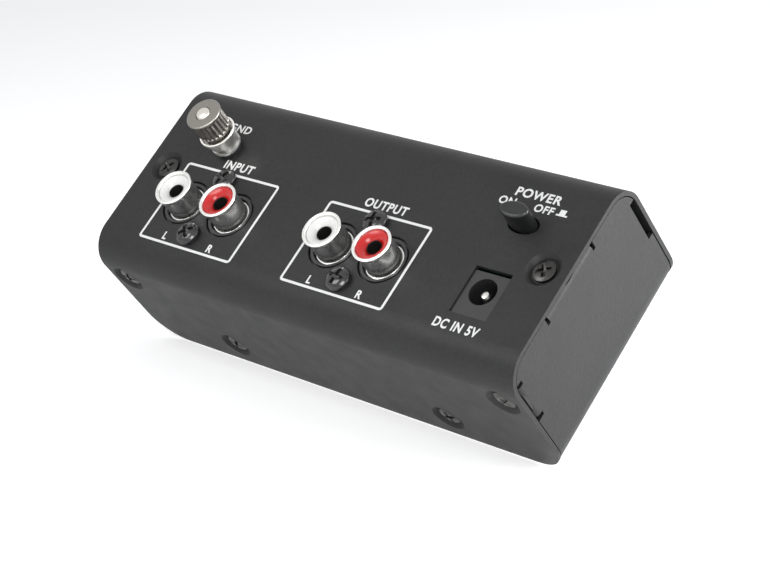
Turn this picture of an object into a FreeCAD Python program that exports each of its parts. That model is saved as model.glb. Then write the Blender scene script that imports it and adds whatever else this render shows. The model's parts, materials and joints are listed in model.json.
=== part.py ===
import FreeCAD, Part
import math
import os

# A small metal-cased phono preamp, in millimetres.
# +Z is up and the box rests on z = 0. The connector panel faces +Y, the plain front faces -Y.
# The case is two folded sheets: a wrap that makes the top, the connector panel and the bottom,
# and a chassis that makes the front and both ends and hides its screw tabs inside the wrap.

V = FreeCAD.Vector

# Driving dimensions
WIDTH, HEIGHT, DEPTH = 120.0, 50.0, 35.5
SHEET = 1.0
REAR_BEND = 7.0
CORNER = 8.2
SEAM = 0.25
HALF_W = WIDTH / 2
REAR = DEPTH / 2
FRONT = -DEPTH / 2
REAR_IN = REAR - SHEET
END_FACE = HALF_W - 0.1

REAR_SCREW_X, REAR_SCREW_Z = 54.0, 25.3
END_SCREW = (54.6, 7.05)
FRONT_SCREW = (31.5, -10.75)
DISH_R, DISH_FLOOR_R, DISH_DEPTH = 4.0, 2.9, 1.2

JACK_Z = 17.6
JACK_PITCH = 14.0
JACK_SCREW_RISE = 7.5
INPUT_X, OUTPUT_X = 34.7, -10.35
JACK_HOLE_R = 5.95
SHELL_R, SHELL_IN_R, SHELL_OUT = 4.15, 3.75, 6.0

BOARD_REAR, BOARD_THICK = 5.0, 1.6
BOARD_FRONT = BOARD_REAR - BOARD_THICK

DC_X, DC_Z = -43.95, 17.0
BUTTON_X, BUTTON_Z = -44.0, 33.8
BUTTON_A, BUTTON_B, BUTTON_OUT = 3.45, 1.95, 5.6
GROUND_X, GROUND_Z = 39.9, 33.8
STUD_R = 1.75
LED_X, LED_Z = -44.0, 25.0


def box(x0, x1, y0, y1, z0, z1):
    return Part.makeBox(x1 - x0, y1 - y0, z1 - z0, V(x0, y0, z0))


def rod(x, z, r, y0, y1):
    """A cylinder along Y."""
    return Part.makeCylinder(r, y1 - y0, V(x, y0, z), V(0, 1, 0))


def turned(x, z, profile):
    """Revolve (radius, y) points about the line through x, z along Y."""
    pts = [V(x + r, y, z) for r, y in profile]
    face = Part.Face(Part.makePolygon(pts + [pts[0]]))
    return face.revolve(V(x, 0, z), V(0, 1, 0), 360)


def oval(x, z, a, b, y0, y1):
    """An elliptical prism along Y, wider along X."""
    curve = Part.Ellipse(V(x, y0, z), a, b)
    edge = curve.toShape()
    edge.rotate(V(x, y0, z), V(1, 0, 0), 90)
    return Part.Face(Part.Wire(edge)).extrude(V(0, y1 - y0, 0))


def hexagon(x, z, across, y0, y1):
    r = across / math.sqrt(3)
    pts = [V(x + r * math.cos(math.radians(60 * k)), y0, z + r * math.sin(math.radians(60 * k)))
           for k in range(6)]
    return Part.Face(Part.makePolygon(pts + [pts[0]])).extrude(V(0, y1 - y0, 0))


def fold(place, leg_u, leg_v, radius, run):
    """An L-shaped fold of the sheet; place maps (u, v) to a point, run is the width vector."""
    t, r = SHEET, radius
    q = r * (1 - math.cos(math.pi / 4))
    qi = t + (r - t) * (1 - math.cos(math.pi / 4))
    p = [place(u, v) for u, v in ((leg_u, 0), (r, 0), (q, q), (0, r), (0, leg_v), (t, leg_v),
                                  (t, r), (qi, qi), (r, t), (leg_u, t))]
    edges = [Part.makeLine(p[0], p[1]), Part.Arc(p[1], p[2], p[3]).toShape(),
             Part.makeLine(p[3], p[4]), Part.makeLine(p[4], p[5]), Part.makeLine(p[5], p[6]),
             Part.Arc(p[6], p[7], p[8]).toShape(), Part.makeLine(p[8], p[9]),
             Part.makeLine(p[9], p[0])]
    return Part.Face(Part.Wire(edges)).extrude(run)


def side_prism(x0, x1, y_rear, z0, z1, radius):
    """A block along X whose two rear edges are rounded, for anything that follows the rear bends."""
    block = box(x0, x1, FRONT, y_rear, z0, z1)
    rear = [e for e in block.Edges
            if all(abs(v.Y - y_rear) < 1e-6 for v in e.Vertexes)
            and abs(e.Vertexes[0].Z - e.Vertexes[-1].Z) < 1e-6]
    return block.makeFillet(radius, rear)


def plan_block(half, y0, y1, z0, z1, radius):
    """A block whose two front vertical edges are rounded."""
    block = box(-half, half, y0, y1, z0, z1)
    front = [e for e in block.Edges
             if all(abs(v.Y - y0) < 1e-6 for v in e.Vertexes)
             and abs(e.Vertexes[0].Z - e.Vertexes[-1].Z) > 1.0]
    return block.makeFillet(radius, front)


def dimple_places():
    """Each dimpled screw: the point on the outer face and the inward direction."""
    rear = [(V(s * REAR_SCREW_X, REAR, REAR_SCREW_Z), V(0, -1, 0)) for s in (-1, 1)]
    ends = [(V(s * END_SCREW[0], END_SCREW[1], 0), V(0, 0, 1)) for s in (-1, 1)]
    front = [(V(s * FRONT_SCREW[0], FRONT_SCREW[1], 0), V(0, 0, 1)) for s in (-1, 1)]
    return rear, ends + front


def dish_back(point, inward, grow=0.0):
    """The back of a pressed dimple in the wrap, which the tab behind it nests around."""
    return Part.makeCone(4.9 + grow, 3.6 + grow, 1.7 + grow, point + inward * 0.5, inward)


def press_dimple(sheet, point, inward):
    sheet = sheet.fuse(dish_back(point, inward))
    sheet = sheet.cut(Part.makeCone(DISH_R, DISH_FLOOR_R, DISH_DEPTH, point, inward))
    return sheet.cut(Part.makeCylinder(1.7, 4, point, inward))


def nest_tab(sheet, point, inward):
    sheet = sheet.fuse(Part.makeCone(5.9, 4.6, 1.7, point + inward * 1.5, inward))
    sheet = sheet.cut(dish_back(point, inward, 0.05))
    return sheet.cut(Part.makeCylinder(1.5, 5, point, inward))


def jack_centres(block_x):
    return block_x + JACK_PITCH / 2, block_x - JACK_PITCH / 2


def jack_screw_points():
    return [(x, JACK_Z + s * JACK_SCREW_RISE) for x in (INPUT_X, OUTPUT_X) for s in (1, -1)]


def wrap_cover():
    outer = side_prism(-HALF_W, HALF_W, REAR, 0, HEIGHT, REAR_BEND)
    inner = side_prism(-HALF_W - 1, HALF_W + 1, REAR_IN, SHEET, HEIGHT - SHEET, REAR_BEND - SHEET)
    inner = inner.fuse(box(-HALF_W - 1, HALF_W + 1, FRONT - 1, 0, SHEET, HEIGHT - SHEET))
    cover = outer.cut(inner).common(plan_block(HALF_W, FRONT, REAR, 0, HEIGHT, CORNER))
    rear, below = dimple_places()
    for point, inward in rear + below:
        cover = press_dimple(cover, point, inward)
    for block_x in (INPUT_X, OUTPUT_X):
        for x in jack_centres(block_x):
            cover = cover.cut(rod(x, JACK_Z, JACK_HOLE_R, REAR_IN - 1, REAR + 1))
    for x, z in jack_screw_points():
        cover = cover.cut(rod(x, z, 1.7, REAR_IN - 1, REAR + 1))
    cover = cover.cut(box(DC_X - 4.65, DC_X + 4.65, REAR_IN - 1, REAR + 1, 10.8, 22.2))
    cover = cover.cut(oval(BUTTON_X, BUTTON_Z, BUTTON_A + 0.4, BUTTON_B + 0.4, REAR_IN - 1, REAR + 1))
    return cover.cut(rod(GROUND_X, GROUND_Z, STUD_R + 0.15, REAR_IN - 1, REAR + 1))


def front_chassis():
    low, high = SHEET + SEAM, HEIGHT - SHEET - SEAM
    shell = plan_block(END_FACE, FRONT, REAR_IN, low, high, CORNER)
    hollow = plan_block(END_FACE - SHEET, FRONT + SHEET, REAR_IN + 1, low - 1, high + 1, CORNER - SHEET)
    shell = shell.cut(hollow)
    shell = shell.common(side_prism(-HALF_W, HALF_W, REAR_IN - SEAM, low, high,
                                    REAR_BEND - SHEET - SEAM))
    for s in (-1, 1):
        edge = s * END_FACE
        inward = -s
        skin = sorted((edge + s, edge - s * SHEET))
        shell = shell.cut(box(*skin, REAR_IN - 3.0, REAR_IN + 1, 16.25, 33.75))
        shell = shell.cut(box(*skin, 1.8, 11.9, 0, SHEET + 3.0))
        shell = shell.fuse(fold(lambda u, v: V(edge + inward * u, REAR_IN - v, 16.25),
                                11.2, 3.0, 1.6, V(0, 0, 17.5)))
        shell = shell.fuse(fold(lambda u, v: V(edge + inward * u, 1.8, SHEET + v),
                                12.0, 3.0, 1.5, V(0, 10.1, 0)))
        x0 = s * FRONT_SCREW[0] - 6.5
        shell = shell.cut(box(x0, x0 + 13.0, FRONT - 1, FRONT + SHEET, 0, SHEET + 3.0))
        shell = shell.fuse(fold(lambda u, v: V(x0, FRONT + u, SHEET + v),
                                13.0, 3.0, 1.5, V(13.0, 0, 0)))
        lo, hi = sorted((edge + s, edge - 1.5 * s))
        for z in (15.35, 33.75):
            shell = shell.cut(box(lo, hi, REAR_IN - 2.3, REAR_IN + 1, z, z + 0.9))
        for y in (0.7, 11.9):
            shell = shell.cut(box(lo, hi, y, y + 1.1, 0, SHEET + 2.2))
        shell = shell.cut(box(lo, hi, 0.15, 11.85, high - 1.6, high + 1))
        for sign in (-1, 1):
            lo_x = s * FRONT_SCREW[0] + sign * 7.0 - 0.5
            shell = shell.cut(box(lo_x, lo_x + 1.0, FRONT - 1, FRONT + 2.2, 0, SHEET + 2.0))
    rear, below = dimple_places()
    for point, inward in rear + below:
        shell = nest_tab(shell, point, inward)
    inside = side_prism(-END_FACE, END_FACE, REAR_IN, SHEET, HEIGHT - SHEET, REAR_BEND - SHEET)
    shell = shell.common(inside)
    return shell.cut(rod(LED_X, LED_Z, 1.6, FRONT - 1, FRONT + 3))


def case_screw(point, inward):
    """A low pan head that sits on the dimple's floor, with its shank in the nested tab."""
    seat = point + inward * DISH_DEPTH
    head = Part.makeCylinder(2.6, 0.95, seat - inward * 0.95, inward)
    rim = [e for e in head.Edges if (e.CenterOfMass - (seat - inward * 0.95)).Length < 1e-6]
    head = head.makeChamfer(0.35, rim)
    return head.fuse(Part.makeCylinder(1.45, 5.5, seat, inward))


def jack_screw(x, z):
    head = turned(x, z, [(0, REAR), (2.85, REAR), (2.85, REAR + 0.9), (2.55, REAR + 1.5),
                         (1.9, REAR + 1.9), (0, REAR + 2.05)])
    return head.fuse(rod(x, z, 1.35, REAR - 7.0, REAR))


def jack_block(block_x):
    """The moulded body of a pair of sockets, with a collar around each that fills the panel hole."""
    body = box(block_x - 12.6, block_x + 12.6, BOARD_REAR, REAR_IN, JACK_Z - 10.2, JACK_Z + 10.2)
    uprights = [e for e in body.Edges if abs(e.Vertexes[0].Y - e.Vertexes[-1].Y) > 1]
    body = body.makeFillet(1.2, uprights)
    for x in jack_centres(block_x):
        body = body.fuse(rod(x, JACK_Z, 5.45, REAR_IN, REAR - 0.1))
    for x in jack_centres(block_x):
        body = body.cut(rod(x, JACK_Z, 4.85, REAR - 1.2, REAR + 1))
        body = body.cut(rod(x, JACK_Z, SHELL_R + 0.02, 9.2, REAR))
        body = body.cut(rod(x, JACK_Z, 2.3, 8.4, 9.5))
        body = body.cut(box(x - 0.7, x + 0.7, BOARD_REAR - 1, 8.4, JACK_Z - 0.35, JACK_Z + 0.35))
    for s in (1, -1):
        body = body.cut(rod(block_x, JACK_Z + s * JACK_SCREW_RISE, 1.4, 9.5, REAR_IN + 1))
        rib = box(block_x - 1.6, block_x + 1.6, BOARD_REAR - 1, 8.5,
                  JACK_Z + s * 5 - 2.2, JACK_Z + s * 5 + 2.2)
        body = body.cut(rib)
    return body


def jack_shell(x):
    """The outer contact: a tube with a foot ring on the collar and a rolled lip at the mouth."""
    tip = REAR + SHELL_OUT
    profile = [(SHELL_IN_R, 9.2), (SHELL_R, 9.2), (SHELL_R, REAR - 1.2), (4.55, REAR - 1.2),
               (4.55, REAR - 0.35), (4.4, REAR - 0.2), (SHELL_R, REAR - 0.2), (SHELL_R, tip - 1.1),
               (4.3, tip - 0.75), (4.52, tip - 0.5), (4.57, tip - 0.28), (4.45, tip - 0.08),
               (4.2, tip), (3.95, tip - 0.05), (SHELL_IN_R, tip - 0.3)]
    return turned(x, JACK_Z, profile)


def jack_insulator(x):
    """The coloured ring, dished like a funnel towards the centre contact."""
    face = REAR + SHELL_OUT - 0.45
    profile = [(2.1, 9.2), (3.7, 9.2), (3.7, face - 0.2), (3.5, face), (3.2, face - 0.05),
               (2.6, face - 0.35), (2.1, face - 0.75), (1.8, face - 1.15), (1.7, face - 1.5),
               (1.7, face - 4.4), (2.1, face - 4.4)]
    return turned(x, JACK_Z, profile)


def jack_contact(x):
    """The sprung sleeve that grips a plug's pin, with its tail through the board."""
    sleeve = turned(x, JACK_Z, [(1.65, 11.0), (1.65, 18.8), (2.05, 18.8), (2.05, 8.4), (0, 8.4),
                                (0, 11.0)])
    tail = box(x - 0.6, x + 0.6, BOARD_FRONT - 1.4, 8.6, JACK_Z - 0.25, JACK_Z + 0.25)
    sleeve = sleeve.cut(box(x - 0.2, x + 0.2, 12.5, 19, JACK_Z - 3, JACK_Z))
    return sleeve.fuse(tail)


def circuit_board():
    board = box(-54, 54, BOARD_FRONT, BOARD_REAR, 6, 44)
    uprights = [e for e in board.Edges if abs(e.Vertexes[0].Y - e.Vertexes[-1].Y) > 1]
    board = board.makeFillet(1.5, uprights)
    for block_x in (INPUT_X, OUTPUT_X):
        for x in jack_centres(block_x):
            board = board.cut(box(x - 0.75, x + 0.75, BOARD_FRONT - 1, BOARD_REAR + 1,
                                  JACK_Z - 0.4, JACK_Z + 0.4))
    board = board.cut(rod(DC_X, DC_Z, 1.2, BOARD_FRONT - 1, BOARD_REAR + 1))
    board = board.cut(box(DC_X - 1.15, DC_X + 1.15, BOARD_FRONT - 1, BOARD_REAR + 1, 12.95, 13.55))
    for x in (-51, 51):
        for z in (9.5, 40.5):
            board = board.cut(rod(x, z, 1.6, BOARD_FRONT - 1, BOARD_REAR + 1))
    return board


def dc_jack_housing():
    face = REAR - 0.4
    body = box(DC_X - 4.5, DC_X + 4.5, BOARD_REAR, face, 10.95, 21.4)
    body = body.cut(rod(DC_X, DC_Z, 3.15, 7.5, face + 1))
    body = body.cut(rod(DC_X, DC_Z, 1.1, BOARD_REAR - 1, 8))
    return body.cut(box(DC_X - 1.2, DC_X + 1.2, BOARD_REAR - 1, 15.0, 13.1, 14.6))


def dc_centre_pin():
    return turned(DC_X, DC_Z, [(0, BOARD_FRONT - 1.2), (1.05, BOARD_FRONT - 0.9), (1.05, 7.5),
                               (1.6, 7.5), (1.6, 8.0), (1.05, 8.0), (1.05, 15.9), (0.8, 16.3),
                               (0.4, 16.45), (0, 16.45)])


def dc_spring_contact():
    strip = box(DC_X - 1.0, DC_X + 1.0, BOARD_FRONT - 1.0, 13.0, 13.1, 13.4)
    ramp = Part.Face(Part.makePolygon([V(DC_X - 1.0, y, z) for y, z in
                                       ((13.0, 13.1), (14.6, 13.6), (14.6, 13.9), (13.0, 13.4),
                                        (13.0, 13.1))])).extrude(V(2.0, 0, 0))
    return strip.fuse(ramp)


def switch_housing():
    x, z = BUTTON_X, BUTTON_Z
    body = box(x - 4.0, x + 4.0, BOARD_REAR, 11.6, z - 4.0, z + 4.0)
    neck = box(x - 2.4, x + 2.4, 11.6, 12.6, z - 2.4, z + 2.4)
    body = body.fuse(neck)
    body = body.cut(box(x - 1.4, x + 1.4, 5.6, 13, z - 1.4, z + 1.4))
    for s in (-1, 1):
        body = body.cut(box(x - 1.2, x + 1.2, 7.5, 10.5, *sorted((z + s * 3.6, z + s * 5))))
    return body


def switch_plunger():
    """The square slider under the cap, hollow at its inner end for the spring."""
    x, z = BUTTON_X, BUTTON_Z
    slider = box(x - 1.32, x + 1.32, 8.2, 18.5, z - 1.32, z + 1.32)
    return slider.cut(rod(x, z, 0.95, 8, 11.2))


def power_button_cap():
    """An oval cap, narrower at its rounded end, that hides the square plunger."""
    x, z, tip = BUTTON_X, BUTTON_Z, REAR + BUTTON_OUT
    cap = oval(x, z, BUTTON_A, BUTTON_B, 15.2, tip)
    end = [e for e in cap.Edges if abs(e.CenterOfMass.y - tip) < 1e-6]
    cap = cap.makeFillet(0.55, end)
    return cap.cut(box(x - 1.33, x + 1.33, 15, 18.5, z - 1.33, z + 1.33))


def switch_return_spring():
    helix = Part.makeHelix(0.75, 5.3, 0.75)
    helix.rotate(V(0, 0, 0), V(1, 0, 0), -90)
    helix.translate(V(BUTTON_X, 5.75, BUTTON_Z))
    start = helix.Edges[0].valueAt(helix.Edges[0].FirstParameter)
    ring = Part.Wire(Part.makeCircle(0.15, start, helix.Edges[0].tangentAt(helix.Edges[0].FirstParameter)))
    return Part.Wire(helix.Edges).makePipeShell([ring], True, True)


def switch_pins():
    pins = []
    for dx in (-2.5, 0, 2.5):
        for dz in (-2.6, 2.6):
            pins.append(box(BUTTON_X + dx - 0.35, BUTTON_X + dx + 0.35, BOARD_FRONT - 1.3, BOARD_FRONT,
                            BUTTON_Z + dz - 0.15, BUTTON_Z + dz + 0.15))
    return Part.makeCompound(pins)


def ground_stud():
    tip = REAR + 13.3
    return turned(GROUND_X, GROUND_Z, [(0, 10.0), (1.45, 10.0), (STUD_R, 10.3), (STUD_R, tip - 0.7),
                                       (1.45, tip - 0.3), (0.85, tip - 0.06), (0, tip)])


def ground_insulating_washer():
    return turned(GROUND_X, GROUND_Z, [(STUD_R, REAR), (3.05, REAR), (3.05, REAR + 0.8),
                                       (2.8, REAR + 1.15), (STUD_R, REAR + 1.15)])


def ground_collar():
    """The fixed cup of the terminal: flared outside, with a window low down for the wire."""
    y = REAR + 1.15
    cup = turned(GROUND_X, GROUND_Z, [(STUD_R, y), (3.2, y), (3.45, y + 0.25), (3.45, y + 1.1),
                                      (3.55, y + 2.0), (4.15, y + 4.3), (4.38, y + 4.75),
                                      (4.38, y + 5.05), (4.25, y + 5.2), (3.95, y + 5.2),
                                      (3.85, y + 5.0), (3.85, y + 3.6), (2.95, y + 3.2),
                                      (2.95, y + 1.05), (STUD_R, y + 1.05)])
    window = box(GROUND_X - 2.3, GROUND_X + 2.3, y + 1.05, y + 2.0, GROUND_Z - 6, GROUND_Z - 0.2)
    return cup.cut(window)


def ground_clamp_washer():
    y = REAR + 3.2
    return turned(GROUND_X, GROUND_Z, [(STUD_R + 0.08, y), (2.75, y), (2.75, y + 0.75),
                                       (STUD_R + 0.08, y + 0.75)])


def ground_thumb_nut():
    """A turned head with straight flutes between its rim and its smooth neck."""
    y = REAR + 3.95
    face = REAR + 12.7
    bore = STUD_R + 0.07
    nut = turned(GROUND_X, GROUND_Z, [(bore, y), (2.6, y), (2.6, y + 2.3), (3.45, y + 2.4),
                                      (3.45, y + 3.1), (3.9, y + 3.5), (3.9, face - 0.9),
                                      (4.2, face - 0.6), (4.2, face - 0.2), (4.0, face),
                                      (bore, face)])
    count = 22
    cutter = Part.makeCylinder(0.34, face - 0.9 - (y + 3.2), V(GROUND_X + 3.98, y + 3.2, GROUND_Z),
                               V(0, 1, 0))
    flutes = []
    for k in range(count):
        one = cutter.copy()
        one.rotate(V(GROUND_X, 0, GROUND_Z), V(0, 1, 0), 360.0 * k / count)
        flutes.append(one)
    return nut.cut(Part.makeCompound(flutes))


def ground_solder_lug():
    ring = rod(GROUND_X, GROUND_Z, 3.4, REAR_IN - 0.5, REAR_IN)
    tongue = box(GROUND_X - 1.3, GROUND_X + 1.3, REAR_IN - 0.5, REAR_IN, GROUND_Z, GROUND_Z + 8.0)
    return ring.fuse(tongue).cut(rod(GROUND_X, GROUND_Z, STUD_R, REAR_IN - 1, REAR_IN + 1))


def ground_lock_nut():
    nut = hexagon(GROUND_X, GROUND_Z, 6.0, REAR_IN - 3.0, REAR_IN - 0.5)
    return nut.cut(rod(GROUND_X, GROUND_Z, STUD_R, REAR_IN - 4, REAR_IN))


def ground_wire():
    """A short lead from the lug down to the board."""
    top = GROUND_Z + 7.0
    points = [V(GROUND_X, REAR_IN - 0.5, top), V(GROUND_X, 12.5, top + 0.6), V(GROUND_X, 9.0, top - 0.6),
              V(GROUND_X, BOARD_REAR, top - 1.0)]
    path = Part.BSplineCurve()
    path.interpolate(Points=points, InitialTangent=V(0, -1, 0), FinalTangent=V(0, -1, 0))
    start = path.value(path.FirstParameter)
    ring = Part.Wire(Part.makeCircle(0.5, start, path.tangent(path.FirstParameter)[0]))
    return Part.Wire(path.toShape()).makePipeShell([ring], True, True)


def power_led():
    back = FRONT + 5.0
    bulb = rod(LED_X, LED_Z, 1.5, FRONT - 0.1, back)
    dome = Part.makeSphere(1.5, V(LED_X, FRONT - 0.1, LED_Z))
    rim = rod(LED_X, LED_Z, 1.9, back - 1.0, back)
    return bulb.fuse(dome).fuse(rim)


def led_spacer():
    body = rod(LED_X, LED_Z, 2.1, FRONT + 5.0, BOARD_FRONT)
    for s in (-1, 1):
        body = body.cut(rod(LED_X + s * 1.27, LED_Z, 0.35, FRONT + 4, BOARD_FRONT + 1))
    return body


def led_leads():
    return Part.makeCompound([box(LED_X + s * 1.27 - 0.22, LED_X + s * 1.27 + 0.22, FRONT + 5.0,
                                  BOARD_FRONT, LED_Z - 0.22, LED_Z + 0.22) for s in (-1, 1)])


def can_capacitor(x, z, r, length):
    """An upright electrolytic: rolled groove near the board and a rounded top."""
    y = BOARD_FRONT
    top = y - length
    return turned(x, z, [(0, y), (r - 0.1, y), (r, y - 0.3), (r, y - 1.2), (r - 0.35, y - 1.6),
                         (r, y - 2.0), (r, top + 0.5), (r - 0.3, top + 0.12), (r - 0.5, top),
                         (0, top)])


def film_capacitor(x, z, w, h, length):
    body = box(x - w / 2, x + w / 2, BOARD_FRONT - length, BOARD_FRONT, z - h / 2, z + h / 2)
    return body.makeFillet(0.4, [e for e in body.Edges
                                 if abs(e.Vertexes[0].Y - e.Vertexes[-1].Y) > 1])


def chip(x, z):
    """An eight-leg amplifier chip lying on the board, with its end notch."""
    y = BOARD_FRONT - 0.5
    body = box(x - 4.8, x + 4.8, y - 3.3, y, z - 3.15, z + 3.15)
    return body.cut(rod(x - 4.8, z, 0.8, y - 4, y - 2.6))


def chip_legs(x, z):
    legs = []
    for k in range(4):
        for s in (-1, 1):
            lx = x - 3.81 + 2.54 * k
            arm = box(lx - 0.3, lx + 0.3, BOARD_FRONT - 2.2, BOARD_FRONT - 1.95,
                      *sorted((z + s * 3.15, z + s * 4.05)))
            drop = box(lx - 0.3, lx + 0.3, BOARD_FRONT - 2.2, BOARD_FRONT,
                       *sorted((z + s * 3.8, z + s * 4.05)))
            legs.append(arm.fuse(drop))
    return Part.makeCompound(legs)


def resistor(x, z):
    """An axial resistor with its two bent leads."""
    y = BOARD_FRONT - 1.15
    body = Part.makeCylinder(0.85, 5.0, V(x - 2.5, y, z), V(1, 0, 0))
    ends = [Part.makeCylinder(1.05, 1.1, V(x + s, y, z), V(1, 0, 0)) for s in (-3.0, 1.9)]
    lead = Part.makeCylinder(0.28, 9.6, V(x - 4.8, y, z), V(1, 0, 0))
    drops = [rod(x + s * 4.6, z, 0.28, y, BOARD_FRONT) for s in (-1, 1)]
    return body.multiFuse(ends + [lead] + drops)


def regulator():
    y = BOARD_FRONT
    body = box(-31, -24.5, y - 2.3, y - 0.1, 9.0, 15.1)
    tab = box(-30.4, -25.1, y - 1.1, y, 14.9, 17.0)
    return body.fuse(tab).fuse(box(-29.4, -26.1, y - 0.6, y, 7.4, 9.2))


def inductor():
    y = BOARD_FRONT
    return turned(-37.5, 12.5, [(0, y), (3.4, y), (3.4, y - 0.8), (2.6, y - 1.2), (2.6, y - 3.6),
                                (3.4, y - 4.0), (3.4, y - 4.8), (0, y - 4.8)])


def save(name, shape):
    shape.exportStep("parts/%s.step" % name)


def main():
    os.makedirs("parts", exist_ok=True)
    rear, below = dimple_places()
    save("wrap_cover", wrap_cover())
    save("front_chassis", front_chassis())
    save("rear_cover_screws", Part.makeCompound([case_screw(p, d) for p, d in rear]))
    save("bottom_cover_screws", Part.makeCompound([case_screw(p, d) for p, d in below]))
    save("jack_screws", Part.makeCompound([jack_screw(x, z) for x, z in jack_screw_points()]))
    for side, block_x in (("input", INPUT_X), ("output", OUTPUT_X)):
        save(side + "_jack_block", jack_block(block_x))
        for channel, x in zip(("left", "right"), jack_centres(block_x)):
            name = "%s_%s_" % (side, channel)
            save(name + "shell", jack_shell(x))
            save(name + "insulator", jack_insulator(x))
            save(name + "contact", jack_contact(x))
    for make in (circuit_board, dc_jack_housing, dc_centre_pin, dc_spring_contact, switch_housing,
                 switch_plunger, power_button_cap, switch_return_spring, switch_pins, ground_stud,
                 ground_insulating_washer, ground_collar, ground_clamp_washer, ground_thumb_nut,
                 ground_solder_lug, ground_lock_nut, ground_wire, power_led, led_spacer, led_leads,
                 regulator, inductor):
        save(make.__name__, make())
    for k, (x, z, r, length) in enumerate(((-12, 12, 4.0, 11.5), (-2, 12, 4.0, 11.5),
                                           (-20.5, 38, 3.2, 11.0), (30, 38, 3.2, 11.0)), 1):
        save("can_capacitor_%d" % k, can_capacitor(x, z, r, length))
    for k, (x, z) in enumerate(((-9, 37.5), (20, 37.5)), 1):
        save("film_capacitor_%d" % k, film_capacitor(x, z, 7.2, 3.4, 7.5))
    for k, x in enumerate((-6, 17), 1):
        save("amplifier_chip_%d" % k, chip(x, 26.5))
        save("amplifier_chip_%d_legs" % k, chip_legs(x, 26.5))
    for k, (x, z) in enumerate(((5.5, 32.5), (5.5, 20.0), (30, 30.5), (30, 10.5)), 1):
        save("resistor_%d" % k, resistor(x, z))


main()
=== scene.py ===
# %% [markdown]
# # A small metal phono preamp
# The CAD model gives the case, the sockets, the switch and the terminal as rigid bodies. This
# notebook gives them their finishes and adds what is too fine for the CAD model: turned and rolled
# edges, cross recesses, thumb-nut flutes, screw thread, and the white print on the panel.

import json
import math

import bpy
import numpy as np
from mathutils import Matrix, Vector


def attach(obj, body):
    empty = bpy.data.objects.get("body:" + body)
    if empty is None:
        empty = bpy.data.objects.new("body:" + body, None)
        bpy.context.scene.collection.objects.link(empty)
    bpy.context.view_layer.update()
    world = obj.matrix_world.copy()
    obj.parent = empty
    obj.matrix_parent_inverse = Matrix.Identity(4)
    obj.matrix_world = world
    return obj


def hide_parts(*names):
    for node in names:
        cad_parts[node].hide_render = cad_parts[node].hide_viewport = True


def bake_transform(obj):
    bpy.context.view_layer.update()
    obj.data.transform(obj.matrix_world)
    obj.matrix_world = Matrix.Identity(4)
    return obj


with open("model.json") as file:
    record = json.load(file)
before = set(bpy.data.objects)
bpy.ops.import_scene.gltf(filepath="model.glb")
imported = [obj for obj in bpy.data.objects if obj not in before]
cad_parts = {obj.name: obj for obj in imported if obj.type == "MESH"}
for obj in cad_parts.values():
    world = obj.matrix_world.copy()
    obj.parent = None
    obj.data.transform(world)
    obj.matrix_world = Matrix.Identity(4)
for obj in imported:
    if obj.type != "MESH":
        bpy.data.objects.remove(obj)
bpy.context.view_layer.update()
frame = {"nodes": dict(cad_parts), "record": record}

# %% [markdown]
# ## Sizes
# All lengths are millimetres in the CAD model's own frame: the connector panel is the plane
# y = 17.75 and the case rests on z = 0. The helpers turn them into metres at the very end.

# %% Sizes
MM = 0.001
REAR, FRONT = 17.75, -17.75
JACK_Z, JACK_RISE = 17.6, 7.5
JACKS = {"input_left": 41.7, "input_right": 27.7, "output_left": -3.35, "output_right": -17.35}
BLOCKS = (34.7, -10.35)
REAR_SCREWS = [(54.0, 25.3), (-54.0, 25.3)]
BOTTOM_SCREWS = [(54.6, 7.05), (-54.6, 7.05), (31.5, -10.75), (-31.5, -10.75)]
GROUND = (39.9, 33.8)
BUTTON = (-44.0, 33.8)

# %% [markdown]
# ## Surfaces from formulas
# Every added piece is a grid of points on a surface with a formula. A patch is a pair of arrays,
# points and quads, and one piece may join several patches, as the four screws of the sockets do.

# %% Surfaces
AXIS_R = 0.004
EDGE_SHARE = 0.42


def grid_quads(rows, columns, close_rows=False):
    """Quads between neighbouring points of a grid stored row by row; the columns run round."""
    r = np.arange(rows if close_rows else rows - 1)
    i, j = np.meshgrid(r, np.arange(columns), indexing="ij")
    i2, j2 = (i + 1) % rows, (j + 1) % columns
    return np.stack([i * columns + j, i2 * columns + j, i2 * columns + j2, i * columns + j2],
                    -1).reshape(-1, 4)


def soften(points, radius=0.12, steps=5):
    """Round each inner corner of an open profile.

    A corner P between neighbours A and B becomes the quadratic curve with control points
    P + d(A - P), P, P + d(B - P), where d keeps the cut under the radius and under EDGE_SHARE of an
    edge, so that two corners never meet.
    """
    p = [np.array(q, float) for q in points]
    out = [p[0]]
    for a, b, c in zip(p, p[1:], p[2:]):
        la, lc = np.linalg.norm(a - b), np.linalg.norm(c - b)
        cut = min(radius, EDGE_SHARE * la, EDGE_SHARE * lc)
        start, end = b + (a - b) * cut / la, b + (c - b) * cut / lc
        for t in np.linspace(0, 1, steps):
            out.append((1 - t) ** 2 * start + 2 * t * (1 - t) * b + t ** 2 * end)
    out.append(p[-1])
    return np.array(out)


def revolve(x, z, profile, columns=96, ripple=None):
    """Turn a closed profile about the line through (x, z) along Y.

    A profile point (r, y) at angle t goes to (x + r cos t, y, z + r sin t). ripple(r, y, t) gives a
    change of radius, for flutes and threads. The profile runs up the outside and down the inside.
    """
    profile = np.asarray(profile, float)
    t = np.linspace(0, 2 * np.pi, columns, endpoint=False)
    r = np.repeat(profile[:, :1], columns, 1)
    y = np.repeat(profile[:, 1:], columns, 1)
    if ripple is not None:
        r = r + ripple(r, y, t[None, :])
    points = np.stack([x + r * np.cos(t), y, z + r * np.sin(t)], -1).reshape(-1, 3)
    return points, grid_quads(len(profile), columns, close_rows=True)


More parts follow.
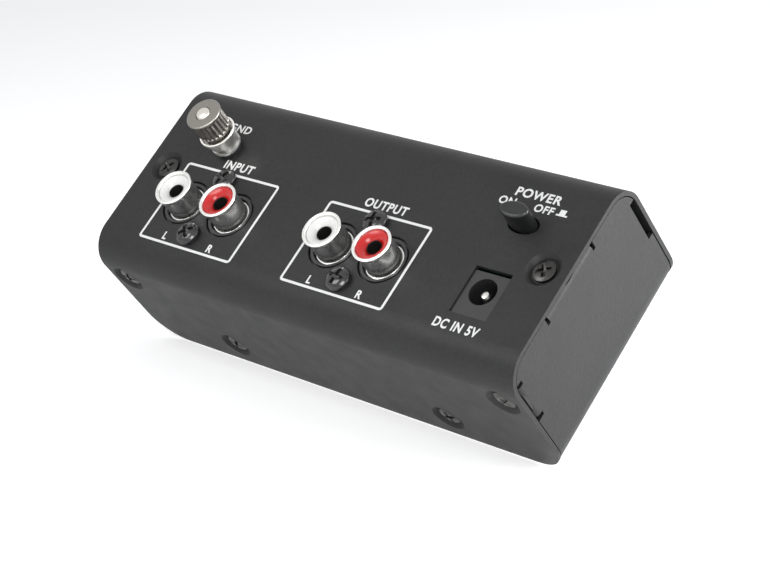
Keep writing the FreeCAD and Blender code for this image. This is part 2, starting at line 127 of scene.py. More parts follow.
def capped(x, z, profile, columns=96, ripple=None):
    """Like revolve, for a profile that starts and ends on the axis.

    Both ends are moved out to AXIS_R, so the surface closes through a tube too thin to see.
    """
    profile = np.asarray(profile, float).copy()
    profile[0, 0] = profile[-1, 0] = AXIS_R
    return revolve(x, z, profile, columns, ripple)


def step(value, width):
    """A smooth step from 0 to 1 as value goes from -width to width."""
    s = np.clip(value / (2 * width) + 0.5, 0, 1)
    return s * s * (3 - 2 * s)


# %% [markdown]
# ## Screws from formulas
# A head is a stack of rings, and the recess of its cross is taken off the height of its top.

# %% Screw surfaces
ACROSS = np.array([1.0, 0, 0])
RECESS_WALL, RECESS_END, RECESS_TAPER = 0.07, 0.12, 0.45


def cross_recess(u, v, arm, half, depth):
    """Depth of a cross recess at (u, v).

    Each arm is the product of a smooth step across its width and one along its length, deeper at
    the centre than at its end; the recess is the deeper of the two arms.
    """
    def one(a, b):
        taper = 1 - RECESS_TAPER * np.clip(np.abs(b) / arm, 0, 1)
        return step(half - np.abs(a), RECESS_WALL) * step(arm - np.abs(b), RECESS_END) * taper
    return depth * np.maximum(one(u, v), one(v, u))


def screw_head(seat, normal, radius, rise, edge, arm, half, depth, turn, columns=128):
    """A pan head with a cross recess.

    Rings climb the side, then cross the top towards the middle. At a distance r from the axis the
    top stands rise - edge (r / radius)^4 above the seat, less the recess.
    """
    seat, n = np.array(seat, float), np.array(normal, float)
    b = np.cross(n, ACROSS)
    t = np.linspace(0, 2 * np.pi, columns, endpoint=False)
    side = rise - edge
    rings = [(radius * 0.55, 0.0), (radius, 0.0)]
    rings += [(radius, side * s) for s in (0.15, 0.5, 0.9)]
    shoulder, middle_rings = np.cos(np.linspace(0.12, 0.95, 8)), np.linspace(0.56, 0.004, 46)
    top = radius * np.concatenate([shoulder, middle_rings])
    r = np.array([q[0] for q in rings] + list(top))
    base = np.array([q[1] for q in rings] + list(rise - edge * (top / radius) ** 4))
    u, v = r[:, None] * np.cos(t), r[:, None] * np.sin(t)
    cu, cv = (u * math.cos(turn) - v * math.sin(turn), u * math.sin(turn) + v * math.cos(turn))
    on_top = (np.arange(len(r)) >= len(rings))[:, None]
    h = base[:, None] - np.where(on_top, cross_recess(cu, cv, arm, half, depth), 0)
    points = seat + u[..., None] * ACROSS + v[..., None] * b + h[..., None] * n
    points = np.vstack([points.reshape(-1, 3), [seat], [seat + n * (rise - depth)]])
    under, tip = len(r) * columns, len(r) * columns + 1
    last = (len(r) - 1) * columns
    ring = range(columns)
    faces = [tuple(q) for q in grid_quads(len(r), columns)]
    faces += [(under, k, (k + 1) % columns) for k in ring]
    faces += [(tip, last + (k + 1) % columns, last + k) for k in ring]
    return points, faces


def shank(seat, normal, radius, length, columns=24):
    """The plain body of a screw, from its seat inwards."""
    n = np.array(normal, float)
    b = np.cross(n, ACROSS)
    t = np.linspace(0, 2 * np.pi, columns, endpoint=False)
    ring = radius * (np.cos(t)[:, None] * ACROSS + np.sin(t)[:, None] * b)
    top, low = np.array(seat, float), np.array(seat, float) - n * length
    points = np.vstack([low + ring, top + ring, [low], [top]])
    pairs = [(i, (i + 1) % columns) for i in range(columns)]
    faces = [(i, j, columns + j, columns + i) for i, j in pairs]
    faces += [(2 * columns, j, i) for i, j in pairs]
    faces += [(2 * columns + 1, columns + i, columns + j) for i, j in pairs]
    return points, faces


# %% [markdown]
# ## Joining patches into pieces
# A piece rides the body of the CAD model that it belongs to, and may take the place of a node.

# %% Pieces
def piece(name, patches, material, body="case", replaces=(), sharp=38):
    """Join patches into one object at the origin, riding a CAD body if one is named."""
    points, faces, base = [], [], 0
    for p, f in patches:
        points.append(np.asarray(p, float) * MM)
        faces += [tuple(int(i) + base for i in q) for q in f]
        base += len(p)
    mesh = bpy.data.meshes.new(name)
    mesh.from_pydata(np.vstack(points).tolist(), [], faces)
    mesh.validate()
    mesh.polygons.foreach_set("use_smooth", [True] * len(mesh.polygons))
    mesh.set_sharp_from_angle(angle=math.radians(sharp))
    mesh.materials.append(material)
    mesh.update()
    thing = bpy.data.objects.new(name, mesh)
    bpy.context.scene.collection.objects.link(thing)
    if body:
        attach(thing, body)
    if replaces:
        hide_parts(*replaces)
    return thing


# %% [markdown]
# ## Shader arithmetic
# A small wrapper lets a material be written as a formula: adding or multiplying two wires makes the
# math node. All patterns come from object coordinates, so they stay put on the part.

# %% Shader arithmetic
class Wire:
    """A value in a node tree that can be added, multiplied and mapped."""

    def __init__(self, tree, socket):
        self.tree, self.socket = tree, socket

    def _math(self, operation, first, second):
        node = self.tree.nodes.new("ShaderNodeMath")
        node.operation = operation
        for index, value in enumerate((first, second)):
            if isinstance(value, Wire):
                self.tree.links.new(value.socket, node.inputs[index])
            else:
                node.inputs[index].default_value = value
        return Wire(self.tree, node.outputs[0])

    def __add__(self, other):
        return self._math("ADD", self, other)

    def __mul__(self, other):
        return self._math("MULTIPLY", self, other)

    def map(self, low, high, to_low, to_high):
        """Stretch low..high to to_low..to_high and clamp."""
        node = self.tree.nodes.new("ShaderNodeMapRange")
        self.tree.links.new(self.socket, node.inputs["Value"])
        for key, value in (("From Min", low), ("From Max", high), ("To Min", to_low),
                           ("To Max", to_high)):
            node.inputs[key].default_value = value
        return Wire(self.tree, node.outputs["Result"])


def object_noise(tree, per_metre, detail=3.0):
    """Noise with so many waves per metre of the object."""
    place = tree.nodes.new("ShaderNodeTexCoord")
    noise = tree.nodes.new("ShaderNodeTexNoise")
    noise.inputs["Scale"].default_value = per_metre
    noise.inputs["Detail"].default_value = detail
    tree.links.new(place.outputs["Object"], noise.inputs["Vector"])
    return Wire(tree, noise.outputs["Fac"])


GRAIN_HEIGHT = 0.00006
FINE_RATIO, SLOW_SHARE, FINE_SHARE = 14, 0.45, 0.55


def finish_of(name, colour, rough, metal=0.0, coat=0.0, grain=0.0, grain_size=400,
              mottle=0.0, mottle_size=60, wear=0.0):
    """A finish: a colour with slow mottling, a roughness that wanders, and a fine grain in relief.

    mottle is the share by which the colour goes up and down, wear the same for the roughness, and
    the sizes are waves per metre.
    """
    material = bpy.data.materials.new(name)
    material.use_nodes = True
    tree = material.node_tree
    shader = tree.nodes["Principled BSDF"]
    shader.inputs["Base Color"].default_value = (*colour, 1)
    shader.inputs["Roughness"].default_value = rough
    shader.inputs["Metallic"].default_value = metal
    shader.inputs["Coat Weight"].default_value = coat
    if mottle:
        slow = object_noise(tree, mottle_size, 4.0)
        fine = object_noise(tree, mottle_size * FINE_RATIO, 2.0)
        mix = tree.nodes.new("ShaderNodeMix")
        mix.data_type = "RGBA"
        mix.inputs[6].default_value = (*[c * (1 - mottle) for c in colour], 1)
        mix.inputs[7].default_value = (*[min(1, c * (1 + mottle)) for c in colour], 1)
        blend = (slow * SLOW_SHARE + fine * FINE_SHARE).map(0.3, 0.7, 0, 1)
        tree.links.new(blend.socket, mix.inputs[0])
        tree.links.new(mix.outputs[2], shader.inputs["Base Color"])
    if wear:
        spread = object_noise(tree, mottle_size * 2)
        tree.links.new(spread.map(0.25, 0.75, rough - wear, rough + wear).socket,
                       shader.inputs["Roughness"])
    if grain:
        relief = tree.nodes.new("ShaderNodeBump")
        relief.inputs["Strength"].default_value = grain
        relief.inputs["Distance"].default_value = GRAIN_HEIGHT
        tree.links.new(object_noise(tree, grain_size).socket, relief.inputs["Height"])
        tree.links.new(relief.outputs["Normal"], shader.inputs["Normal"])
    return material


# %% [markdown]
# ## Finishes
# The case has a dark, satin powder coat with a fine orange-peel grain. Plated parts are nickel, and
# the sockets' insulators are the usual white for left and red for right.

# %% Finishes
coat_paint = finish_of("case_coat", (0.016, 0.016, 0.0165), 0.50, grain=0.8, grain_size=1500,
                       mottle=0.22, mottle_size=90, wear=0.05)
coat_paint.node_tree.nodes["Principled BSDF"].inputs["Specular IOR Level"].default_value = 0.24
screw_plate = finish_of("screw_nickel", (0.055, 0.054, 0.052), 0.32, metal=1.0, mottle=0.06,
                        mottle_size=300, wear=0.06)
screw_black = finish_of("screw_black", (0.012, 0.012, 0.013), 0.22, coat=0.25, wear=0.05,
                        mottle_size=300)
shell_plate = finish_of("shell_chrome", (0.80, 0.80, 0.78), 0.26, metal=1.0, wear=0.02,
                        mottle_size=200)
# Painted shade: a near-black lining that stands for the shadow in the sockets' deep throats.
painted_throat_shade = finish_of("socket_throat", (0.022, 0.021, 0.020), 0.45, metal=0.6, wear=0.05)
white_ring = finish_of("insulator_white", (0.60, 0.60, 0.58), 0.26, coat=0.1, wear=0.04)
red_ring = finish_of("insulator_red", (0.42, 0.008, 0.008), 0.22, wear=0.04)
tin = finish_of("contact_tin", (0.66, 0.65, 0.62), 0.28, metal=1.0, wear=0.06, mottle_size=400)
moulding = finish_of("moulding_black", (0.014, 0.014, 0.015), 0.40, grain=0.12, grain_size=1800,
                     wear=0.05)
button_gloss = finish_of("button_black", (0.005, 0.0055, 0.0055), 0.30, wear=0.04)
spring_wire = finish_of("spring_steel", (0.55, 0.55, 0.55), 0.3, metal=1.0, wear=0.05)
terminal_plate = finish_of("terminal_nickel", (0.66, 0.64, 0.59), 0.30, metal=1.0, wear=0.06,
                           mottle_size=300, grain=0.1, grain_size=3000)
nut_plate = finish_of("nut_nickel", (0.26, 0.245, 0.225), 0.34, metal=1.0, wear=0.06,
                      mottle_size=300, grain=0.1, grain_size=3000)
cup_plate = finish_of("cup_nickel", (0.90, 0.89, 0.85), 0.36, metal=1.0, wear=0.05,
                      mottle_size=300)
lug_metal = finish_of("lug_brass", (0.72, 0.60, 0.34), 0.3, metal=1.0, wear=0.05)
lead_green = finish_of("wire_green", (0.05, 0.22, 0.07), 0.4, wear=0.04)
mask_green = finish_of("board_green", (0.02, 0.13, 0.06), 0.35, mottle=0.1, wear=0.05)
lamp_lens = finish_of("led_lens", (0.35, 0.55, 0.80), 0.18, coat=0.4, wear=0.04)
epoxy = finish_of("chip_black", (0.02, 0.02, 0.02), 0.6, grain=0.2, grain_size=2200, wear=0.06)
sleeve = finish_of("can_sleeve", (0.02, 0.03, 0.07), 0.3, wear=0.05)
film = finish_of("film_red", (0.45, 0.05, 0.03), 0.3, wear=0.05)
lacquer = finish_of("resistor_blue", (0.15, 0.35, 0.50), 0.35, wear=0.05)
ferrite = finish_of("ferrite_grey", (0.07, 0.07, 0.075), 0.7, grain=0.2, grain_size=1500,
                    wear=0.05)
print_white = finish_of("print_white", (0.62, 0.62, 0.61), 0.55, mottle=0.05, mottle_size=500,
                        wear=0.04)

FINISH = {"case_coat": coat_paint, "screw_nickel": screw_plate, "screw_black": screw_black,
          "shell_chrome": shell_plate, "insulator_white": white_ring, "insulator_red": red_ring,
          "contact_tin": tin, "moulding_black": moulding, "button_black": button_gloss,
          "spring_steel": spring_wire, "terminal_nickel": terminal_plate, "lug_brass": lug_metal,
          "wire_green": lead_green, "board_green": mask_green, "led_lens": lamp_lens,
          "chip_black": epoxy, "can_sleeve": sleeve, "film_red": film, "resistor_blue": lacquer,
          "ferrite_grey": ferrite}
for part in frame["record"]["subparts"]:
    node = frame["nodes"][part["node"]]
    node.data.materials.clear()
    node.data.materials.append(FINISH[part["material_slot"]])

# %% [markdown]
# ## Phono sockets
# A socket's outer contact is a thin tube drawn and rolled outwards at its mouth. The profile
# follows the CAD tube, with the lip rounded as a roller leaves it. The insulator is a moulded
# funnel, and a dark sleeve inside it is painted shade: a near-black tube that stands for the
# shadow in the deep throat of the inner contact.

# %% Phono sockets
TIP = REAR + 6.0
FACE = TIP - 0.45
TUBE_FOOT = 9.2
TUBE_IN, TUBE_OUT = 3.75, 4.15
FUNNEL_BORE, THROAT_BORE, THROAT_FOOT = 1.7, 1.6, 18.85
shell_profile = soften([(TUBE_IN, TUBE_FOOT), (TUBE_OUT, TUBE_FOOT), (TUBE_OUT, REAR - 1.2),
                        (4.55, REAR - 1.2), (4.55, REAR - 0.8), (4.4, REAR - 0.7),
                        (TUBE_OUT, REAR - 0.7), (TUBE_OUT, TIP - 1.25), (4.3, TIP - 0.8),
                        (4.53, TIP - 0.5), (4.57, TIP - 0.25), (4.45, TIP - 0.06), (4.2, TIP),
                        (3.95, TIP - 0.06), (TUBE_IN, TIP - 0.35)], 0.1)
ring_profile = soften([(2.1, TUBE_FOOT), (3.7, TUBE_FOOT), (3.7, FACE - 0.2), (3.5, FACE),
                       (3.2, FACE - 0.05), (2.6, FACE - 0.35), (2.1, FACE - 0.75),
                       (1.8, FACE - 1.15), (FUNNEL_BORE, FACE - 1.5), (FUNNEL_BORE, FACE - 4.4),
                       (2.1, FACE - 4.4)], 0.3)
throat_profile = soften([(THROAT_BORE, THROAT_FOOT), (1.69, THROAT_FOOT), (1.69, FACE - 1.05),
                         (THROAT_BORE, FACE - 1.12), (THROAT_BORE, THROAT_FOOT)], 0.03, 3)[:-1]
for jack, x in JACKS.items():
    piece(jack + "_tube", [revolve(x, JACK_Z, shell_profile)], shell_plate,
          replaces=[jack + "_shell"])
    side = "white" if jack.endswith("left") else "red"
    piece(jack + "_funnel", [revolve(x, JACK_Z, ring_profile)], FINISH["insulator_" + side],
          replaces=[jack + "_insulator"])
    # The throat sleeve is painted shade for the dark hole of each socket.
    piece(jack + "_throat", [revolve(x, JACK_Z, throat_profile, 64)], painted_throat_shade)

# %% [markdown]
# ## Screws
# Cold-headed screws with a cross recess. The recess is pressed by a punch, so its walls lean and it
# is deepest in the middle. Each screw stopped at its own angle.

# %% Screws
JACK_HEAD = {"radius": 2.85, "rise": 2.05, "edge": 0.95, "arm": 1.75, "half": 0.42, "depth": 1.15}
CASE_HEAD = {"radius": 2.6, "rise": 0.95, "edge": 0.35, "arm": 1.6, "half": 0.38, "depth": 0.8}
JACK_SHANK = {"radius": 1.35, "length": 7.0}
CASE_SHANK = {"radius": 1.45, "length": 5.5}
DISH_DEPTH = 1.2
turns = iter((0.35, 0.9, 1.3, 0.1, 0.6, 1.1, 0.2, 0.75, 0.45, 1.25))


def screws(seats, normal, head, body):
    """Heads with their shanks, each turned to its own angle."""
    patches = []
    for seat in seats:
        patches += [screw_head(seat, normal, turn=next(turns), **head), shank(seat, normal, **body)]
    return patches


jack_seats = [(x, REAR, JACK_Z + s * JACK_RISE) for x in BLOCKS for s in (1, -1)]
rear_seats = [(x, REAR - DISH_DEPTH, z) for x, z in REAR_SCREWS]
base_seats = [(x, y, DISH_DEPTH) for x, y in BOTTOM_SCREWS]
piece("socket_screws", screws(jack_seats, (0, 1, 0), JACK_HEAD, JACK_SHANK), screw_black,
      replaces=["jack_screws"])
piece("panel_screws", screws(rear_seats, (0, 1, 0), CASE_HEAD, CASE_SHANK), screw_plate,
      replaces=["rear_cover_screws"])
piece("base_screws", screws(base_seats, (0, 0, -1), CASE_HEAD, CASE_SHANK), screw_plate,
      replaces=["bottom_cover_screws"])

# %% [markdown]
# ## Ground terminal
# The nut is turned from bar and its grip is rolled with straight flutes: the radius falls by a
# rounded cosine between 22 teeth, but only along the grip. The cup has a window low in its wall for
# the wire, and the stud carries a fine thread.

# %% Ground terminal
gx, gz = GROUND
NUT_FACE = REAR + 12.7
GRIP_LOW, GRIP_HIGH = REAR + 7.35, NUT_FACE - 0.9
TEETH, FLUTE_DEPTH = 22, 0.34
STUD_BORE = 1.82


def flutes(r, y, t):
    """Take FLUTE_DEPTH off between teeth, only on the grip and only on the outside."""
    along = step(y - GRIP_LOW - 0.15, 0.12) * step(GRIP_HIGH - 0.1 - y, 0.12)
    wave = np.clip(0.5 - 0.5 * np.cos(TEETH * t), 0, 1) ** 0.8
    return -FLUTE_DEPTH * wave * along * (r > 3.5)


def add_rings(profile, count):
    """Put extra points along each long edge, so that a ripple has something to bend."""
    out = [profile[0]]
    for a, b in zip(profile, profile[1:]):
        n = count if np.linalg.norm(b - a) > 0.8 else 1
        out += [a + (b - a) * k / n for k in range(1, n + 1)]
    return np.array(out)


nut_profile = add_rings(soften([
    (STUD_BORE, REAR + 3.95), (2.6, REAR + 3.95), (2.6, REAR + 6.25), (3.45, REAR + 6.35),
    (3.45, REAR + 7.05), (3.9, REAR + 7.45), (3.9, NUT_FACE - 0.9), (4.2, NUT_FACE - 0.6),
    (4.2, NUT_FACE - 0.2), (4.0, NUT_FACE), (STUD_BORE, NUT_FACE)], 0.15), 12)
piece("nut", [revolve(gx, gz, nut_profile, TEETH * 12, flutes)], nut_plate, body="thumb_nut",
      replaces=["ground_thumb_nut"], sharp=50)


def windowed_cup(x, z, profile, outer, inner, middle, half, columns=144):
    """A turned cup with a window through its wall.

    outer and inner are the pairs of neighbouring profile rows at the window's low and high edge, on
    the two faces. The quads between them and within half degrees of the middle angle are left out,
    and walls join the outer rows to the inner ones.
    """
    (out_low, out_high), (in_low, in_high) = outer, inner
    points, quads = revolve(x, z, profile, columns)
    first = round((middle - half) / 360 * columns)
    end = round((middle + half) / 360 * columns)
    rows, hole = {out_low, in_high}, range(first, end)

    def at(row, column):
        return row * columns + column

    faces = [tuple(q) for q in quads if q[0] // columns not in rows or q[0] % columns not in hole]
    for k in hole:
        faces.append((at(out_low, k), at(out_low, k + 1), at(in_low, k + 1), at(in_low, k)))
        faces.append((at(out_high, k + 1), at(out_high, k), at(in_high, k), at(in_high, k + 1)))
    faces.append((at(out_high, first), at(out_low, first), at(in_low, first), at(in_high, first)))
    faces.append((at(out_low, end), at(out_high, end), at(in_high, end), at(in_low, end)))
    return points, faces


CUP_FOOT = REAR + 1.15
WINDOW_LOW, WINDOW_HIGH = CUP_FOOT + 1.05, CUP_FOOT + 2.0
WINDOW_MIDDLE, WINDOW_HALF = 270, 42
CUP_HOLE, CUP_IN = 1.76, 2.95
cup_profile = [(CUP_HOLE, CUP_FOOT), (3.1, CUP_FOOT), (3.36, CUP_FOOT + 0.06),
               (3.47, CUP_FOOT + 0.2), (3.50, CUP_FOOT + 0.5), (3.48, CUP_FOOT + 0.85),
               (3.45, WINDOW_LOW), (3.47, WINDOW_HIGH), (3.56, CUP_FOOT + 2.5),
               (3.80, CUP_FOOT + 3.2), (4.06, CUP_FOOT + 3.9), (4.28, CUP_FOOT + 4.5),
               (4.37, CUP_FOOT + 4.78), (4.38, CUP_FOOT + 5.0), (4.3, CUP_FOOT + 5.15),
               (4.15, CUP_FOOT + 5.2), (3.98, CUP_FOOT + 5.18), (3.86, CUP_FOOT + 5.0),
               (3.85, CUP_FOOT + 3.7), (3.7, CUP_FOOT + 3.55), (3.05, CUP_FOOT + 3.25),
               (CUP_IN, CUP_FOOT + 3.1), (CUP_IN, WINDOW_HIGH), (CUP_IN, WINDOW_LOW),
               (CUP_HOLE, WINDOW_LOW)]
OUTER_ROWS, INNER_ROWS = (6, 7), (23, 22)
piece("wire_cup", [windowed_cup(gx, gz, cup_profile, OUTER_ROWS, INNER_ROWS, WINDOW_MIDDLE,
                                WINDOW_HALF)], cup_plate,
      replaces=["ground_collar"], sharp=32)

STUD_R, STUD_FOOT = 1.75, 10.0
STUD_TIP = REAR + 13.3
PITCH, THREAD_DEPTH = 0.7, 0.06
THREAD_LOW, THREAD_HIGH = 19.3, 30.2


def thread(r, y, t):
    """A rounded thread: the radius follows a cosine of the turn and of the height."""
    along = step(y - THREAD_LOW, 0.3) * step(THREAD_HIGH - y, 0.2)
    wave = 0.5 - 0.5 * np.cos(2 * np.pi * y / PITCH - t)
    return -THREAD_DEPTH * wave * along * (r > 1.6)


body_points = [(STUD_R, y) for y in np.arange(STUD_FOOT + 0.4, STUD_TIP - 0.75, PITCH / 10)]
stud_profile = [(0, STUD_FOOT), (1.45, STUD_FOOT)] + body_points + [
    (1.72, STUD_TIP - 0.62), (1.45, STUD_TIP - 0.3), (1.15, STUD_TIP - 0.15),
    (0.85, STUD_TIP - 0.06), (0.4, STUD_TIP - 0.01), (0, STUD_TIP)]
piece("stud", [capped(gx, gz, stud_profile, 48, thread)], terminal_plate,
      replaces=["ground_stud"], sharp=60)

# %% [markdown]
# ## Power button
# A moulded oval cap. Its outline is an ellipse, and towards the end each ring shrinks along a
# quarter circle so that the rim is rounded and the end stays flat.

# %% Power button
bx, bz = BUTTON
BUTTON_A, BUTTON_B, RIM = 3.45, 1.95, 0.55
BUTTON_FOOT, BUTTON_TIP = 15.2, REAR + 5.6
around = np.linspace(0, 2 * np.pi, 120, endpoint=False)


def oval(a, b, y):
    """A ring of points on the ellipse with half axes a and b at the depth y."""
    return np.stack([bx + a * np.cos(around), np.full_like(around, y), bz + b * np.sin(around)], -1)


rows = [oval(BUTTON_A * k, BUTTON_B * k, BUTTON_FOOT) for k in (0.02, 0.95)]
rows += [oval(BUTTON_A, BUTTON_B, y)
         for y in (BUTTON_FOOT, 16.0, BUTTON_TIP - 1.0, BUTTON_TIP - 0.62)]
for a in np.linspace(0, math.pi / 2, 9):
    inset = RIM * (1 - math.cos(a))
    rows.append(oval(BUTTON_A - inset, BUTTON_B - inset, BUTTON_TIP - RIM + RIM * math.sin(a)))
rows += [oval((BUTTON_A - RIM) * k, (BUTTON_B - RIM) * k, BUTTON_TIP) for k in (0.9, 0.5, 0.02)]
cap = np.array(rows)
piece("button", [(cap.reshape(-1, 3), grid_quads(len(cap), len(around), close_rows=True))],
      button_gloss, body="button", replaces=["power_button_cap"], sharp=60)

# %% [markdown]
# ## Return spring
# A coiled wire between the switch's floor and the plunger, drawn at rest. It is baked in place
# and rides no body.

# %% Return spring
SPRING_LOW, SPRING_HIGH = 5.6, 11.2
SPRING_R, SPRING_WIRE, SPRING_TURNS = 0.75, 0.15, 7


def coil(x, z, y0, y1, radius, wire, turns, columns=10, per_turn=28):
    """Sweep a circle along a helix.

    The centre line is (x + R cos a, y, z + R sin a) with y rising evenly. Each ring lies in the
    plane of the outward direction and the axis, which is close enough for a fine pitch.
    """
    a = np.linspace(0, 2 * np.pi * turns, per_turn * turns + 1)
    y = np.linspace(y0 + wire, y1 - wire, len(a))
    b = np.linspace(0, 2 * np.pi, columns, endpoint=False)
    r = radius + wire * np.cos(b)[None, :]
    points = np.stack([x + r * np.cos(a)[:, None], y[:, None] + wire * np.sin(b)[None, :],
                       z + r * np.sin(a)[:, None]], -1)
    ends = [tuple(range(columns)), tuple(range((len(a) - 1) * columns, len(a) * columns))[::-1]]
    quads = [tuple(q[::-1]) for q in grid_quads(len(a), columns)]
    return points.reshape(-1, 3), quads + ends


spring = piece("return_spring", [coil(bx, bz, SPRING_LOW, SPRING_HIGH, SPRING_R, SPRING_WIRE,
                                      SPRING_TURNS)], spring_wire, body=None,
               replaces=["switch_return_spring"], sharp=60)
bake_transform(spring)

# %% [markdown]
# ## Panel print
# White screen print: two frames round the pairs of sockets, and plain words. Each word is stretched
# to its own place on the panel. Only generic words are printed.

# %% Panel print
PRINT_LOW, PRINT_HIGH = REAR + 0.004, REAR + 0.018
LETTER_WEIGHT, LETTER_SPACE = 0.03, 1.12
LINE_WIDTH, LINE_CORNER = 0.6, 0.9

HEADING = (28.55, 30.8)
STATE = (37.3, 39.2)
CHANNEL = (7.4, 9.4)
WORDS = [("INPUT", 38.2, 29.3, *HEADING), ("OUTPUT", -4.3, -16.0, *HEADING),
         ("GND", 43.9, 37.2, 38.3, 40.4), ("POWER", -37.9, -49.4, 39.9, 42.1),
         ("ON", -35.1, -39.2, *STATE), ("OFF", -44.1, -48.9, *STATE),
         ("DC IN 5V", -37.4, -48.7, 6.7, 9.0),
         ("L", 41.65, 40.55, *CHANNEL), ("R", 27.75, 26.25, *CHANNEL),
         ("L", -2.5, -3.6, *CHANNEL), ("R", -16.25, -17.75, *CHANNEL)]
FRAMES = [(19.56, 48.46), (-24.40, 4.49)]
FRAME_LOW, FRAME_HIGH = 6.33, 27.76


def word(text, left, right, low, high):
    """Print a word so that its ink fills left..right and low..high, read from behind the case."""
    curve = bpy.data.curves.new(text, "FONT")
    curve.body = text
    curve.offset = LETTER_WEIGHT
    curve.space_character = LETTER_SPACE
    curve.extrude = 0.05
    thing = bpy.data.objects.new(text, curve)
    bpy.context.scene.collection.objects.link(thing)
    bpy.context.view_layer.update()
    shown = thing.evaluated_get(bpy.context.evaluated_depsgraph_get())
    flat = shown.to_mesh()
    p = np.array([v.co[:] for v in flat.vertices])
    faces = [tuple(q.vertices) for q in flat.polygons]
    shown.to_mesh_clear()
    bpy.data.objects.remove(thing)
    bpy.data.curves.remove(curve)
    u, v, w = [(p[:, i] - p[:, i].min()) / np.ptp(p[:, i]) for i in range(3)]
    points = np.stack([left + (right - left) * u, PRINT_LOW + (PRINT_HIGH - PRINT_LOW) * w,
                       low + (high - low) * v], -1)
    return points, faces


def rounded_loop(x0, x1, z0, z1, radius, inset, steps=8):
    """Points round a rectangle with rounded corners, moved inwards by inset."""
    out = []
    for cx, cz, a0 in ((x1 - radius, z1 - radius, 0), (x0 + radius, z1 - radius, 90),
                       (x0 + radius, z0 + radius, 180), (x1 - radius, z0 + radius, 270)):
        for a in np.radians(np.linspace(a0, a0 + 90, steps)):
            out.append((cx + (radius - inset) * math.cos(a), cz + (radius - inset) * math.sin(a)))
    return np.array(out)


def line_box(x0, x1, z0, z1):
    """A printed frame: a closed band of even width."""
    outer = rounded_loop(x0, x1, z0, z1, LINE_CORNER, 0)
    inner = rounded_loop(x0, x1, z0, z1, LINE_CORNER, LINE_WIDTH)
    edges = ((outer, PRINT_LOW), (outer, PRINT_HIGH), (inner, PRINT_HIGH), (inner, PRINT_LOW))
    band = np.array([np.stack([q[:, 0], np.full(len(q), y), q[:, 1]], -1) for q, y in edges])
    return band.reshape(-1, 3), grid_quads(4, band.shape[1], close_rows=True)


def slab(x0, x1, z0, z1):
    """A printed bar."""
    c = [(x, y, z) for x in (x0, x1) for y in (PRINT_LOW, PRINT_HIGH) for z in (z0, z1)]
    quads = [(0, 1, 3, 2), (4, 6, 7, 5), (0, 4, 5, 1), (2, 3, 7, 6), (0, 2, 6, 4), (1, 5, 7, 3)]
    return np.array(c), quads


out_symbol = [slab(-52.4, -49.7, 37.65, 38.05), slab(-51.75, -50.3, 38.05, 39.2)]
piece("print_words", [word(*entry) for entry in WORDS] + out_symbol, print_white, sharp=20)
piece("print_frames", [line_box(*span, FRAME_LOW, FRAME_HIGH) for span in FRAMES],
      print_white, sharp=20)

# %% [markdown]
# ## Studio
# The camera looks up at the connector side, worked out from the case's edges. The floor is white
# and passes under the front bottom edge, so the case is seen tipped back in white space. The floor
# is clear from behind, so the case can be looked at from every side.

# %% Studio
LENS, SENSOR = 94.74, 36.0
CAMERA_PLACE = (-0.27877, 0.31309, -0.12367)
CAMERA_RIGHT = Vector((-0.751365, -0.420475, 0.508578))
CAMERA_UP = Vector((0.225778, 0.560383, 0.796866))
FLOOR_NORMAL, FLOOR_HALF, FLOOR_DROP = (0, 0.769, 0.639), 3.0, 0.0002
FLOOR_WHITE, FLOOR_GLOW = 0.85, 0.33
SKY_LIGHT = 0.35
LAMPS = [("key", (-0.55, -0.10, 0.35), (0, 0, 0.02), 0.5, 11.0),
         ("graze", (0.06, 0.20, -0.01), (-0.01, 0.018, 0.005), 0.10, 0.19),
         ("front", (-0.34, 0.42, -0.10), (0, 0.02, 0.025), 0.25, 2.0),
         ("low", (0.30, 0.20, -0.45), (0.03, 0, 0.01), 0.3, 0.4)]

camera = bpy.data.objects.new("camera", bpy.data.cameras.new("camera"))
bpy.context.scene.collection.objects.link(camera)
bpy.context.scene.camera = camera
camera.data.lens, camera.data.sensor_width = LENS, SENSOR
axes = Matrix((CAMERA_RIGHT, CAMERA_UP, CAMERA_RIGHT.cross(CAMERA_UP))).transposed().to_4x4()
camera.matrix_world = Matrix.Translation(CAMERA_PLACE) @ axes


def plane(name, centre, normal, half, material):
    """A square with its front towards normal."""
    n = Vector(normal).normalized()
    a = n.orthogonal().normalized()
    b = n.cross(a)
    c = Vector(centre)
    mesh = bpy.data.meshes.new(name)
    mesh.from_pydata([c + a * i * half + b * j * half for i, j in
                      ((-1, -1), (1, -1), (1, 1), (-1, 1))], [], [(0, 1, 2, 3)])
    mesh.materials.append(material)
    thing = bpy.data.objects.new(name, mesh)
    bpy.context.scene.collection.objects.link(thing)
    return thing


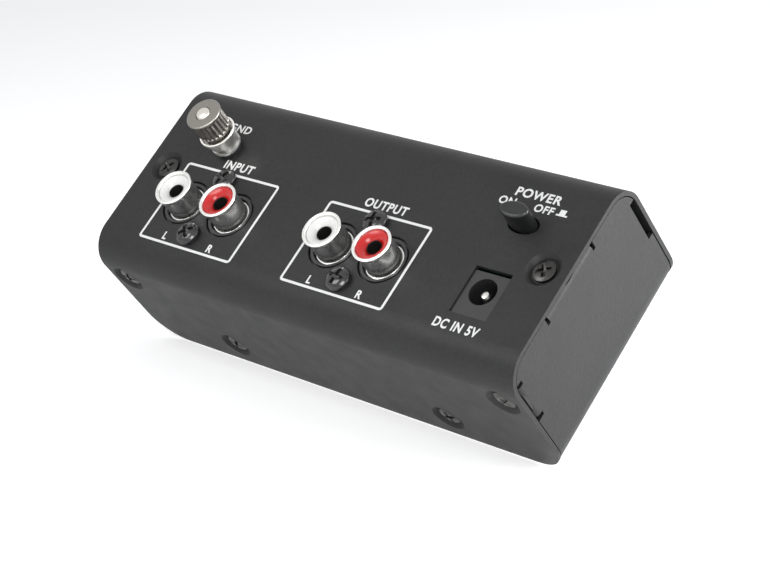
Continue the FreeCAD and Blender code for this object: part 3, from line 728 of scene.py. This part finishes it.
def floor_paint():
    """White from the front and clear from behind."""
    material = bpy.data.materials.new("floor_paint")
    material.use_nodes = True
    tree = material.node_tree
    shader = tree.nodes["Principled BSDF"]
    shader.inputs["Base Color"].default_value = (FLOOR_WHITE, FLOOR_WHITE, FLOOR_WHITE, 1)
    shader.inputs["Roughness"].default_value = 0.9
    shader.inputs["Emission Color"].default_value = (1, 1, 1, 1)
    shader.inputs["Emission Strength"].default_value = FLOOR_GLOW
    side = tree.nodes.new("ShaderNodeNewGeometry")
    tree.links.new((Wire(tree, side.outputs["Backfacing"]) * -1.0 + 1.0).socket,
                   shader.inputs["Alpha"])
    return material


floor = plane("floor", (0, FRONT * MM, -FLOOR_DROP), FLOOR_NORMAL, FLOOR_HALF, floor_paint())

# %% [markdown]
# ## World
# The world is plain white where the camera sees it, straight, in a mirror or through a clear piece,
# and gives a soft, slightly cool light otherwise.

# %% World
world = bpy.data.worlds.new("studio")
bpy.context.scene.world = world
world.use_nodes = True
sky = world.node_tree
backdrop = sky.nodes["Background"]
backdrop.inputs["Color"].default_value = (1, 1, 1, 1)
soft = sky.nodes.new("ShaderNodeBackground")
soft.inputs["Color"].default_value = (0.92, 0.95, 1.0, 1)
soft.inputs["Strength"].default_value = SKY_LIGHT
path = sky.nodes.new("ShaderNodeLightPath")
seen, mirrored, through = [Wire(sky, path.outputs[key]) for key in
                           ("Is Camera Ray", "Is Glossy Ray", "Is Transmission Ray")]
mix = sky.nodes.new("ShaderNodeMixShader")
sky.links.new((seen + mirrored + through).map(0, 1, 0, 1).socket, mix.inputs[0])
sky.links.new(soft.outputs[0], mix.inputs[1])
sky.links.new(backdrop.outputs[0], mix.inputs[2])
sky.links.new(mix.outputs[0], sky.nodes["World Output"].inputs["Surface"])


# %% [markdown]
# ## Lamps
# A large key light comes from the side and above, and three weaker ones fill the rest.

# %% Lamps
def softbox(name, place, target, size, power):
    """A square area light that faces a point of the case."""
    light = bpy.data.lights.new(name, "AREA")
    light.shape, light.size, light.size_y = "RECTANGLE", size, size
    light.energy = power
    thing = bpy.data.objects.new(name, light)
    bpy.context.scene.collection.objects.link(thing)
    thing.location = place
    thing.rotation_euler = (Vector(target) - Vector(place)).to_track_quat("-Z", "Y").to_euler()


for lamp in LAMPS:
    softbox(*lamp)

# %% [markdown]
# ## Colour view
# The view transform is set to Standard.

# %% Finish
bpy.context.scene.view_settings.view_transform = "Standard"
